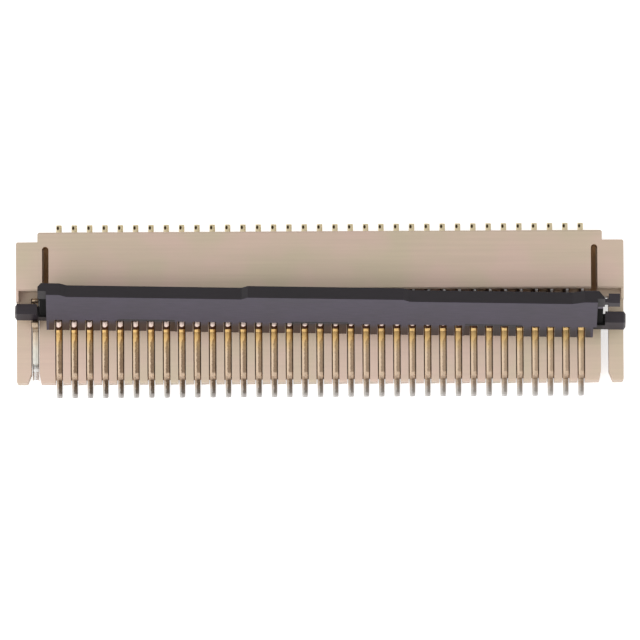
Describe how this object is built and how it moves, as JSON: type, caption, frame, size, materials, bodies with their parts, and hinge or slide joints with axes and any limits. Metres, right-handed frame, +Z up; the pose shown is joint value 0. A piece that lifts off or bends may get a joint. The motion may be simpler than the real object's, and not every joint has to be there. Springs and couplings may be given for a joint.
{
  "type": "fpc connector",
  "caption": "Surface-mount connector for a flat flexible cable, with a row of hooked contacts and a flip lever at the back, shown open",
  "frame": {"origin": "on the housing's flat underside, at the middle of the contact row and of the housing's depth", "axes": "+X along the contact row, +Y out of the cable mouth, +Z up from the circuit board; the solder tails point to -Y"},
  "size_m": [0.0198, 0.0056, 0.0035],
  "materials": {
    "housing": "moulded, ivory",
    "lever": "moulded, dark grey",
    "contact": "gold-plated, stamped",
    "nail": "tin-plated, stamped"
  },
  "bodies": {
    "connector": {"housing": "housing", "fitting_nail_left": "nail", "contact_01": "contact", "contact_02": "contact", "contact_03": "contact", "contact_04": "contact", "contact_05": "contact", "contact_06": "contact", "contact_07": "contact", "contact_08": "contact", "contact_09": "contact", "contact_10": "contact", "contact_11": "contact", "contact_12": "contact", "contact_13": "contact", "contact_14": "contact", "contact_15": "contact", "contact_16": "contact", "contact_17": "contact", "contact_18": "contact", "contact_19": "contact", "contact_20": "contact", "contact_21": "contact", "contact_22": "contact", "contact_23": "contact", "contact_24": "contact", "contact_25": "contact", "contact_26": "contact", "contact_27": "contact", "contact_28": "contact", "contact_29": "contact", "contact_30": "contact", "contact_31": "contact", "contact_32": "contact", "contact_33": "contact", "contact_34": "contact", "contact_35": "contact"},
    "lever": {"lever": "lever"}
  },
  "joints": [
    {"name": "lever_hinge", "type": "hinge", "parent": "connector", "child": "lever", "pos_m": [0, -0.00034, 0.00158], "axis": [0.9998, -0.0192, 0], "range_deg": [0, 117]}
  ]
}
